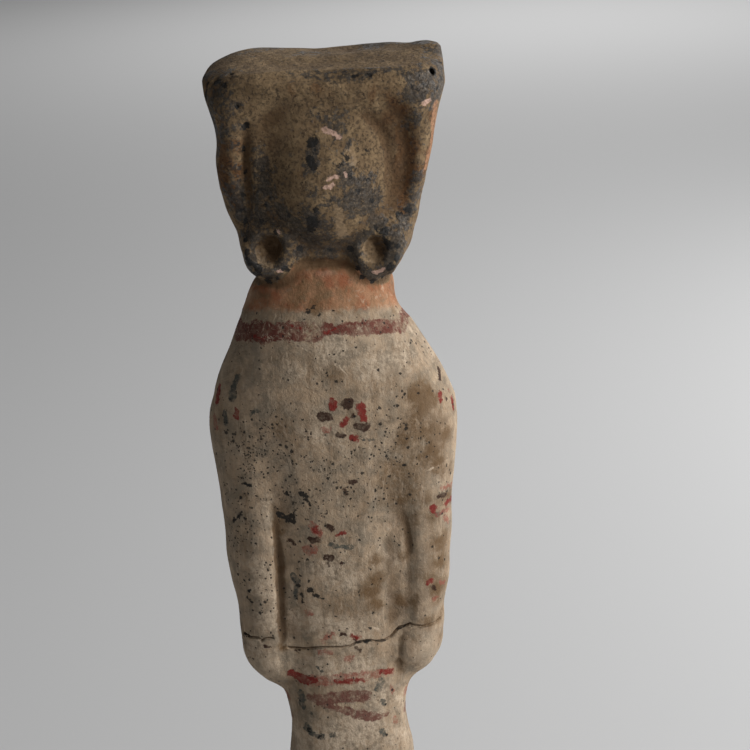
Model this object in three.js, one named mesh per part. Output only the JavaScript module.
// A standing court lady in painted terracotta, about 30 cm tall, pressed in a mould as one piece.
// She faces -Y. The hair is drawn up into a block with a broad flat top, and is looped over at
// both sides of the jaw. The arms hang close to the body, bend at the elbow, and the hands meet
// in front of the belly. The narrow waist runs into a trumpet skirt on a low base.
// All lengths are in millimetres, +Z is up, and the origin is the middle of the underside.
//
// The body is described as a field that is negative inside the clay. Rings of points are then
// found on its skin, at heights that follow the detail, and the rings are skinned into one solid.

import * as THREE from "three";

const { clamp, lerp, smoothstep } = THREE.MathUtils;

// Heights, from the ground up
const BASE_HEIGHT = 6; // low base under the hem
const SKIRT_HEIGHT = 101.5; // top of the base to the waist
const BODICE_HEIGHT = 118; // waist to the collar
const NECK_HEIGHT = 14; // collar to the jaw
const HEAD_HEIGHT = 60.5; // jaw to the top of the hair

// Widths, side to side, and depths, front to back
const HEM_WIDTH = 86;
const HEM_DEPTH = 78;
const BASE_LIP = 3; // how far the base stands out beyond the hem
const WAIST_WIDTH = 34;
const WAIST_DEPTH = 30;
const CHEST_DEPTH = 31;
const SHOULDER_WIDTH = 68;
const SHOULDER_DEPTH = 34;
const NECK_WIDTH = 35.5;
const NECK_DEPTH = 30;
const HAIR_TOP_WIDTH = 62;
const HAIR_TOP_DEPTH = 35;
const HAIR_JAW_WIDTH = 36;

// Arms
const SLEEVE_RADIUS = 12; // at the shoulder
const ELBOW_RADIUS = 9.3;
const WRIST_RADIUS = 6.6;

// Folds of the skirt
const FOLD_COUNT = 10;
const FOLD_DEPTH = 1.1;

// How softly one form of clay runs into the next, and how far the edge of the hair is rounded
const SOFT = 5;
const FIRM = 2;
const CRISP = 1.4;
const HAIR_EDGE = 3;

// Detail of the skin: points in a ring, how much closer they stand in front than behind, and how
// much wider apart at the sides
const RING_POINTS = 56;
const FRONT_BIAS = 0.14;
const SIDE_SPREAD = 0.2;

// Levels worked out from the heights
const BASE_TOP = BASE_HEIGHT;
const WAIST = BASE_TOP + SKIRT_HEIGHT;
const COLLAR = WAIST + BODICE_HEIGHT;
const JAW = COLLAR + NECK_HEIGHT;
const CROWN = JAW + HEAD_HEIGHT;

// A level between the waist and the collar, and one between the jaw and the crown, as a share
const bodiceAt = (share) => WAIST + share * BODICE_HEIGHT;
const headAt = (share) => JAW + share * HEAD_HEIGHT;
const ELBOW = bodiceAt(0.205);

// Joins two fields, with a fillet about as wide as the given softness
function join(a, b, soft) {
  const share = clamp(0.5 + (0.5 * (b - a)) / soft, 0, 1);
  return lerp(b, a, share) - soft * share * (1 - share);
}

// Takes field b away from field a, and keeps only what lies in both
const cut = (a, b, soft) => -join(-a, b, soft);
const trim = (a, b, soft) => -join(-a, -b, soft);

// An egg: the field of an ellipsoid with a centre and three radii
function egg(p, [cx, cy, cz], [rx, ry, rz]) {
  const x = p.x - cx;
  const y = p.y - cy;
  const z = p.z - cz;
  const reach = Math.hypot(x / rx, y / ry, z / rz);
  const slope = Math.hypot(x / (rx * rx), y / (ry * ry), z / (rz * rz));
  return slope > 0 ? (reach * (reach - 1)) / slope : -Math.min(rx, ry, rz);
}

// A limb: a rounded cone from one point to another
function limb(p, [ax, ay, az], [bx, by, bz], startRadius, endRadius) {
  const line = [bx - ax, by - ay, bz - az];
  const along = (p.x - ax) * line[0] + (p.y - ay) * line[1] + (p.z - az) * line[2];
  const share = clamp(along / (line[0] ** 2 + line[1] ** 2 + line[2] ** 2), 0, 1);
  const distance = Math.hypot(
    p.x - ax - share * line[0],
    p.y - ay - share * line[1],
    p.z - az - share * line[2],
  );
  return distance - lerp(startRadius, endRadius, share);
}

// A smooth curve of value against height through [height, value] stations
function profile(stations) {
  const slopes = stations.map((_, i) => {
    const [z0, v0] = stations[Math.max(i - 1, 0)];
    const [z1, v1] = stations[Math.min(i + 1, stations.length - 1)];
    return (v1 - v0) / (z1 - z0);
  });
  return (z) => {
    const last = stations.length - 1;
    if (z <= stations[0][0]) return stations[0][1];
    if (z >= stations[last][0]) return stations[last][1];
    const i = stations.findIndex(([level]) => level > z) - 1;
    const [z0, v0] = stations[i];
    const [z1, v1] = stations[i + 1];
    const span = z1 - z0;
    const t = (z - z0) / span;
    const rise = t * t * (3 - 2 * t);
    return (
      lerp(v0, v1, rise) +
      span * t * (1 - t) * ((1 - t) * slopes[i] - t * slopes[i + 1])
    );
  };
}

// A stack of rounded-oblong sections: negative inside, with flat ends at its lowest and highest level
function stack(p, { low, high, halfWidth, front, back, squareness, soft = FIRM }) {
  const width = halfWidth(p.z);
  const depth = p.y < 0 ? front(p.z) : back(p.z);
  const across = Math.abs(p.x / width) ** squareness;
  const along = Math.abs(p.y / depth) ** squareness;
  const reach = (across + along) ** (1 / squareness);
  const side = (reach - 1) * Math.min(width, depth);
  return trim(side, Math.max(low - p.z, p.z - high), soft);
}

// The trunk: the trumpet skirt, the waist and the narrow bodice in one run of sections. Soft folds
// open towards the hem.
const FLARE = 1.5;
const flareAt = (z) => clamp((WAIST - z) / SKIRT_HEIGHT, 0, 1) ** FLARE;
const trunkRun = (waist, hem, stations) => {
  const bodice = profile([[WAIST, waist / 2], ...stations]);
  return (z) => (z < WAIST ? lerp(waist, hem, flareAt(z)) / 2 : bodice(z));
};
const trunkWidth = trunkRun(WAIST_WIDTH, HEM_WIDTH, [
  [bodiceAt(0.1), WAIST_WIDTH * 0.505],
  [bodiceAt(0.3), WAIST_WIDTH * 0.53],
  [bodiceAt(0.62), WAIST_WIDTH * 0.58],
]);
const trunkFront = trunkRun(WAIST_DEPTH, HEM_DEPTH, [
  [bodiceAt(0.1), WAIST_DEPTH * 0.505],
  [bodiceAt(0.4), CHEST_DEPTH * 0.52],
  [bodiceAt(0.75), CHEST_DEPTH * 0.5],
]);
const trunkBack = trunkRun(WAIST_DEPTH, HEM_DEPTH, [
  [bodiceAt(0.1), WAIST_DEPTH * 0.495],
  [bodiceAt(0.3), CHEST_DEPTH * 0.47],
  [bodiceAt(0.75), CHEST_DEPTH * 0.5],
]);
const SKIRT_SQUARENESS = 2;
const BODICE_SQUARENESS = 2.6;
function trunk(p) {
  const turn = Math.atan2(p.x / HEM_WIDTH, p.y / HEM_DEPTH);
  const fold = FOLD_DEPTH * flareAt(p.z) * Math.cos(FOLD_COUNT * turn);
  const sections = {
    low: -HEM_WIDTH,
    high: bodiceAt(0.85),
    squareness: lerp(SKIRT_SQUARENESS, BODICE_SQUARENESS, smoothstep(p.z, WAIST - 0.3 * SKIRT_HEIGHT, WAIST)),
    halfWidth: trunkWidth,
    front: trunkFront,
    back: trunkBack,
  };
  return stack(p, sections) - fold;
}

// The low base that the hem stands on
function base(p) {
  const halfWidth = HEM_WIDTH / 2 + BASE_LIP;
  const halfDepth = HEM_DEPTH / 2 + BASE_LIP;
  const side = (Math.hypot(p.x / halfWidth, p.y / halfDepth) - 1) * Math.min(halfWidth, halfDepth);
  return Math.max(side, p.z - BASE_TOP);
}

// The yoke: sloping shoulders that close over the arms and run up into the neck
const yoke = {
  low: bodiceAt(0.56),
  high: JAW + 0.2 * HEAD_HEIGHT,
  squareness: 2.2,
  soft: SOFT,
  halfWidth: profile([
    [bodiceAt(0.56), SHOULDER_WIDTH * 0.33],
    [bodiceAt(0.66), SHOULDER_WIDTH * 0.455],
    [bodiceAt(0.76), SHOULDER_WIDTH * 0.49],
    [bodiceAt(0.83), SHOULDER_WIDTH * 0.486],
    [bodiceAt(0.92), SHOULDER_WIDTH * 0.43],
    [COLLAR, lerp(NECK_WIDTH, SHOULDER_WIDTH, 0.39) / 2],
    [lerp(COLLAR, JAW, 0.55), NECK_WIDTH * 0.555],
    [lerp(COLLAR, JAW, 0.95), NECK_WIDTH * 0.51],
    [headAt(0.12), NECK_WIDTH * 0.36],
  ]),
  front: profile([
    [bodiceAt(0.56), SHOULDER_DEPTH * 0.3],
    [bodiceAt(0.7), SHOULDER_DEPTH * 0.48],
    [bodiceAt(0.9), SHOULDER_DEPTH * 0.46],
    [COLLAR, NECK_DEPTH * 0.5],
    [JAW, NECK_DEPTH * 0.38],
  ]),
  back: profile([
    [bodiceAt(0.56), SHOULDER_DEPTH * 0.3],
    [bodiceAt(0.7), SHOULDER_DEPTH * 0.46],
    [bodiceAt(0.85), SHOULDER_DEPTH * 0.5],
    [COLLAR, NECK_DEPTH * 0.54],
    [lerp(COLLAR, JAW, 0.6), NECK_DEPTH * 0.46],
    [headAt(0.12), NECK_DEPTH * 0.3],
  ]),
};

// Where an arm bends and ends, on the +X side; the other arm mirrors it
const shoulderPoint = [SHOULDER_WIDTH / 2 - SLEEVE_RADIUS, 1, bodiceAt(0.76)];
const elbowPoint = [SHOULDER_WIDTH * 0.288, 3, ELBOW];
const wristPoint = [WRIST_RADIUS * 0.95, -CHEST_DEPTH * 0.66, bodiceAt(0.31)];

// One arm in its sleeve, and the cloth that hangs from the elbow and below the forearm. The arm at
// her right is held a little higher.
const ARM_LIFT = 2;
function arm(place) {
  const lift = ARM_LIFT * smoothstep(-place.x, 0, SLEEVE_RADIUS);
  const p = new THREE.Vector3(Math.abs(place.x), place.y, place.z - lift);
  const upper = limb(p, shoulderPoint, elbowPoint, SLEEVE_RADIUS, ELBOW_RADIUS);
  const fore = limb(p, elbowPoint, wristPoint, ELBOW_RADIUS, WRIST_RADIUS);
  const slack = egg(
    p,
    [elbowPoint[0] * 0.84, -1, ELBOW - ELBOW_RADIUS * 0.3],
    [ELBOW_RADIUS * 0.8, ELBOW_RADIUS * 1.2, ELBOW_RADIUS * 1.14],
  );
  const drape = limb(
    p,
    [elbowPoint[0] * 0.72, wristPoint[1] * 0.4, ELBOW - ELBOW_RADIUS * 0.25],
    [wristPoint[0] * 1.5, wristPoint[1] * 0.88, wristPoint[2] - WRIST_RADIUS * 1.5],
    ELBOW_RADIUS * 0.8,
    WRIST_RADIUS * 0.85,
  );
  return join(join(join(upper, fore, CRISP), slack, FIRM), drape, SOFT);
}

// The joined hands, which come out of the sleeves in front
function hands(p) {
  return egg(
    p,
    [0, wristPoint[1] - WRIST_RADIUS * 0.55, wristPoint[2] + WRIST_RADIUS * 0.1],
    [WRIST_RADIUS * 1.05, WRIST_RADIUS * 0.72, WRIST_RADIUS * 0.82],
  );
}

// The block of hair: broad and flat at the top, drawn in to the jaw
const hair = {
  low: headAt(0.12),
  high: CROWN,
  squareness: 3.2,
  soft: HAIR_EDGE,
  halfWidth: profile([
    [headAt(0.08), HAIR_JAW_WIDTH * 0.54],
    [headAt(0.2), HAIR_TOP_WIDTH * 0.368],
    [headAt(0.32), HAIR_TOP_WIDTH * 0.41],
    [headAt(0.43), HAIR_TOP_WIDTH * 0.43],
    [headAt(0.6), HAIR_TOP_WIDTH * 0.452],
    [headAt(0.75), HAIR_TOP_WIDTH * 0.474],
    [headAt(0.88), HAIR_TOP_WIDTH * 0.492],
    [CROWN, HAIR_TOP_WIDTH * 0.492],
  ]),
  front: profile([
    [headAt(0.1), HAIR_TOP_DEPTH * 0.18],
    [headAt(0.25), HAIR_TOP_DEPTH * 0.27],
    [headAt(0.45), HAIR_TOP_DEPTH * 0.4],
    [headAt(0.65), HAIR_TOP_DEPTH * 0.47],
    [CROWN, HAIR_TOP_DEPTH * 0.5],
  ]),
  back: profile([
    [headAt(0.1), HAIR_TOP_DEPTH * 0.22],
    [headAt(0.3), HAIR_TOP_DEPTH * 0.25],
    [headAt(0.6), HAIR_TOP_DEPTH * 0.3],
    [headAt(0.78), HAIR_TOP_DEPTH * 0.385],
    [headAt(0.9), HAIR_TOP_DEPTH * 0.46],
    [headAt(0.96), HAIR_TOP_DEPTH * 0.495],
    [CROWN, HAIR_TOP_DEPTH * 0.5],
  ]),
};

// The loop of hair at each side of the jaw, with a sunk middle behind
const LOOP_RADIUS = HEAD_HEIGHT * 0.138;
const LOOP_STRAND = LOOP_RADIUS * 0.45;
const LOOP_DEPTH = HAIR_TOP_DEPTH * 0.27;
const loopPoint = [HAIR_JAW_WIDTH * 0.39, HAIR_TOP_DEPTH * 0.05, headAt(0.17)];
function loop(p) {
  const x = p.x - loopPoint[0];
  const y = p.y - loopPoint[1];
  const z = p.z - loopPoint[2];
  const inRing = Math.hypot(x, z) - LOOP_RADIUS + LOOP_STRAND;
  const strand = Math.hypot(inRing, Math.max(Math.abs(y) - LOOP_DEPTH + LOOP_STRAND, 0)) - LOOP_STRAND;
  const middle = egg(p, loopPoint, [LOOP_RADIUS * 0.85, LOOP_DEPTH * 0.9, LOOP_RADIUS * 0.85]);
  return join(strand, middle, FIRM);
}

// The rolled edge of the hair, from the corner of the top down to the loop
const ROLL_RADIUS = HAIR_TOP_WIDTH * 0.09;
const rollTop = [HAIR_TOP_WIDTH * 0.375, HAIR_TOP_DEPTH * 0.25, headAt(0.84)];
const rollMiddle = [HAIR_TOP_WIDTH * 0.35, HAIR_TOP_DEPTH * 0.2, headAt(0.46)];
function roll(p) {
  const upper = limb(p, rollTop, rollMiddle, ROLL_RADIUS, ROLL_RADIUS * 0.62);
  const lower = limb(p, rollMiddle, loopPoint, ROLL_RADIUS * 0.62, LOOP_RADIUS * 0.5);
  return join(upper, lower, FIRM);
}

// Once the skin is found it settles, as the clay did. The top of the hair falls to the back, dips in
// the middle, and its corner at her left is worn lower. The head leans a little to her right from a
// neck that stands to her left.
const TOP_FALL = 3.5;
const TOP_DIP = 1.2;
const TOP_CORNER_DROP = 1.4;
const LEAN = 1.8;
const lean = profile([
  [bodiceAt(0.75), 0],
  [lerp(COLLAR, JAW, 0.5), LEAN],
  [headAt(0.12), -LEAN * 0.15],
  [headAt(0.3), -LEAN * 0.55],
  [headAt(0.9), -LEAN],
]);
function settle(point) {
  const toBack = smoothstep(point.y, -HAIR_TOP_DEPTH * 0.3, HAIR_TOP_DEPTH * 0.5);
  const across = (2 * point.x) / HAIR_TOP_WIDTH;
  const dip = TOP_DIP * (1 - smoothstep(Math.abs(across), 0, 0.75));
  const corner = TOP_CORNER_DROP * smoothstep(across, 0.5, 1);
  const { z } = point;
  point.x += lean(z);
  point.z -= smoothstep(z, headAt(0.6), CROWN) * (TOP_FALL * toBack + dip + corner);
  return point;
}

// The back of the head, which bulges under the block
const skullPoint = [0, HAIR_TOP_DEPTH * 0.15, headAt(0.475)];
const skullRadii = [HEAD_HEIGHT * 0.262, HAIR_TOP_DEPTH * 0.375, HEAD_HEIGHT * 0.3];

// The face, set out by thirds: hairline to brow, brow to nose, nose to chin
const HAIRLINE = headAt(0.56);
const CHIN = headAt(0.03);
const faceAt = (share) => lerp(CHIN, HAIRLINE, share);
const FACE_WIDTH = HEAD_HEIGHT * 0.47;
const facePoint = [0, -HAIR_TOP_DEPTH * 0.23, faceAt(0.53)];
const faceRadii = [FACE_WIDTH / 2, HAIR_TOP_DEPTH * 0.41, (HAIRLINE - CHIN) * 0.56];
const FACE_FRONT = facePoint[1] - faceRadii[1];
const EYE_WIDTH = FACE_WIDTH / 5;
const FEATURE_SOFT = 1.5;

function face(p) {
  let clay = egg(p, facePoint, faceRadii);
  const jaw = egg(p, [0, FACE_FRONT + 5.4, faceAt(0.13)], [FACE_WIDTH * 0.24, 5, faceRadii[2] * 0.26]);
  clay = join(clay, jaw, SOFT);
  const hollow = [EYE_WIDTH * 0.7, 1.9, EYE_WIDTH * 0.45];
  const socket = egg(p, [EYE_WIDTH, FACE_FRONT + 0.5, faceAt(0.59)], hollow);
  clay = cut(clay, socket, FIRM);
  const eye = egg(p, [EYE_WIDTH, FACE_FRONT + 2.6, faceAt(0.58)], [EYE_WIDTH * 0.5, 1.5, EYE_WIDTH * 0.27]);
  clay = join(clay, eye, FEATURE_SOFT);
  const bridge = limb(
    p,
    [0, FACE_FRONT + 2.2, faceAt(0.68)],
    [0, FACE_FRONT + 0.8, faceAt(0.43)],
    EYE_WIDTH * 0.3,
    EYE_WIDTH * 0.36,
  );
  const tip = egg(p, [0, FACE_FRONT + 0.8, faceAt(0.385)], [EYE_WIDTH * 0.48, 2.9, EYE_WIDTH * 0.34]);
  clay = join(clay, join(bridge, tip, FIRM), FIRM);
  const lips = egg(p, [0, FACE_FRONT + 1.1, faceAt(0.225)], [EYE_WIDTH * 0.72, 1.7, EYE_WIDTH * 0.27]);
  return join(clay, lips, FEATURE_SOFT);
}

// The hair combed close over the brow and temples, which frames the face
const HAIR_COVER = 1.4;
function brow(p) {
  const cover = egg(
    p,
    [0, facePoint[1] + HAIR_COVER, facePoint[2] + HAIR_COVER],
    faceRadii.map((radius) => radius + HAIR_COVER),
  );
  const opening = egg(
    p,
    [0, FACE_FRONT, faceAt(0.42)],
    [FACE_WIDTH * 0.38, HAIR_TOP_DEPTH, (HAIRLINE - CHIN) * 0.55],
  );
  return cut(cover, opening, CRISP);
}

// The whole head, from the jaw up
function head(p) {
  const side = new THREE.Vector3(Math.abs(p.x), p.y, p.z);
  let clay = join(stack(side, hair), roll(side), SOFT);
  clay = join(clay, egg(p, skullPoint, skullRadii), SOFT);
  clay = join(clay, loop(side), FIRM);
  clay = join(clay, brow(side), FIRM);
  return join(clay, face(side), CRISP);
}

// The whole lady
function lady(p) {
  if (p.z < WAIST - SOFT) return Math.min(base(p), trunk(p));
  const side = new THREE.Vector3(Math.abs(p.x), p.y, p.z);
  const crease = lerp(CRISP, 2 * SOFT, smoothstep(-p.y, CHEST_DEPTH * 0.2, CHEST_DEPTH * 0.6));
  let clay = join(trunk(side), arm(p), crease);
  clay = join(clay, hands(side), SOFT);
  clay = join(clay, stack(side, yoke), FIRM);
  return p.z > COLLAR ? join(clay, head(p), CRISP) : clay;
}

// The line inside the body that a ring's points are found from: half its length at each height
const spine = profile([
  [BASE_TOP, (HEM_WIDTH - HEM_DEPTH) / 2],
  [WAIST, (WAIST_WIDTH - WAIST_DEPTH) / 2],
  [ELBOW, SHOULDER_WIDTH * 0.16],
  [bodiceAt(0.75), (SHOULDER_WIDTH - SHOULDER_DEPTH) / 2],
  [COLLAR, SHOULDER_WIDTH * 0.12],
  [headAt(0.05), HAIR_JAW_WIDTH * 0.12],
  [headAt(0.45), HAIR_TOP_WIDTH * 0.14],
  [CROWN, (HAIR_TOP_WIDTH - HAIR_TOP_DEPTH) / 2],
]);

// The point where a line from outside first meets the clay: it is walked in strides that shorten
// near the skin, and the last stride is halved until it is a hair's breadth long
const REACH = Math.max(HEM_WIDTH, HEM_DEPTH, SHOULDER_WIDTH, HAIR_TOP_WIDTH) * 0.62 + BASE_LIP;
const SHORTEST_STRIDE = 0.4;
const STRIDE_SHARE = 0.6;
const HAIRBREADTH = 0.02;
function skinPoint(outer, inner) {
  const length = outer.distanceTo(inner);
  const p = new THREE.Vector3();
  const fieldAt = (walked) => lady(p.lerpVectors(outer, inner, walked / length));
  let outside = 0;
  let inside = 0;
  let field = fieldAt(0);
  while (field > 0 && inside < length) {
    outside = inside;
    inside = Math.min(length, inside + Math.max(SHORTEST_STRIDE, STRIDE_SHARE * field));
    field = fieldAt(inside);
  }
  while (inside - outside > HAIRBREADTH / 4) {
    const middle = (outside + inside) / 2;
    if (fieldAt(middle) > 0) outside = middle;
    else inside = middle;
  }
  return p.lerpVectors(outer, inner, inside / length);
}

// A ring of points on the skin at one height, and the point on the spine that each looks at
function spineRing(z) {
  return Array.from({ length: RING_POINTS }, (_, i) => {
    const turn = (2 * Math.PI * i) / RING_POINTS;
    const shift = FRONT_BIAS * Math.sin(turn) + 0.5 * SIDE_SPREAD * Math.sin(2 * turn);
    const angle = turn - shift - Math.PI / 2;
    const outer = new THREE.Vector3(REACH * Math.cos(angle), REACH * Math.sin(angle), z);
    return { outer, inner: new THREE.Vector3(spine(z) * Math.cos(angle), 0, z) };
  });
}
const skinRing = (z) => spineRing(z).map(({ outer, inner }) => skinPoint(outer, inner));

// Ring heights: each band runs from one level to the next in the given number of rings
const BANDS = [
  [0, BASE_TOP - HAIRBREADTH, 1],
  [BASE_TOP + HAIRBREADTH, WAIST, 9],
  [WAIST, bodiceAt(0.08), 3],
  [bodiceAt(0.08), bodiceAt(0.38), 16],
  [bodiceAt(0.38), bodiceAt(0.75), 4],
  [bodiceAt(0.75), COLLAR, 6],
  [COLLAR, JAW, 5],
  [JAW, HAIRLINE, 24],
  [HAIRLINE, headAt(0.86), 5],
  [headAt(0.86), CROWN, 6],
];
const levels = BANDS.flatMap(([low, high, count], band) => {
  const share = Array.from({ length: count + 1 }, (_, i) => i / count);
  return share.slice(band > 1 ? 1 : 0).map((t) => lerp(low, high, t));
});

// The flat top of the hair is closed by rings that shrink towards the spine
const TOP_RINGS = [0.75, 0.5, 0.25];
const rim = skinRing(CROWN);
const middle = spineRing(CROWN).map(({ inner }) => inner);
const topRings = TOP_RINGS.map((share) => middle.map((point, i) => point.clone().lerp(rim[i], share)));

// Terracotta under a buff slip and what is left of the paint
const terracotta = new THREE.MeshStandardMaterial({ color: 0xa8977c, roughness: 0.92, metalness: 0 });

// Skins the rings into one closed surface, with a fan of faces over each end. Each four-sided patch
// is split along its shorter diagonal.
function closedSkin(rings) {
  const count = rings[0].length;
  const points = rings.flat();
  const centreOf = (ring) => {
    const sum = new THREE.Vector3();
    for (const point of ring) sum.add(point);
    return sum.divideScalar(count);
  };
  const bottom = points.push(centreOf(rings[0])) - 1;
  const top = points.push(centreOf(rings[rings.length - 1])) - 1;
  const lastRing = (rings.length - 1) * count;
  const faces = [];
  for (let i = 0; i < count; i += 1) {
    const next = (i + 1) % count;
    faces.push(bottom, next, i);
    for (let start = 0; start < lastRing; start += count) {
      const [a, b, c, d] = [start + i, start + next, start + count + next, start + count + i];
      const flat = points[a].distanceTo(points[c]) < points[b].distanceTo(points[d]);
      faces.push(a, b, flat ? c : d);
      faces.push(flat ? a : b, c, d);
    }
    faces.push(top, lastRing + i, lastRing + next);
  }
  const geometry = new THREE.BufferGeometry().setFromPoints(points).setIndex(faces);
  geometry.computeVertexNormals();
  return geometry;
}

const rings = [...levels.map(skinRing), ...topRings].map((ring) => ring.map(settle));
const figure = new THREE.Mesh(closedSkin(rings), terracotta);
figure.name = "court_lady_figure";

const part = new THREE.Group();
part.add(figure);

export default part;
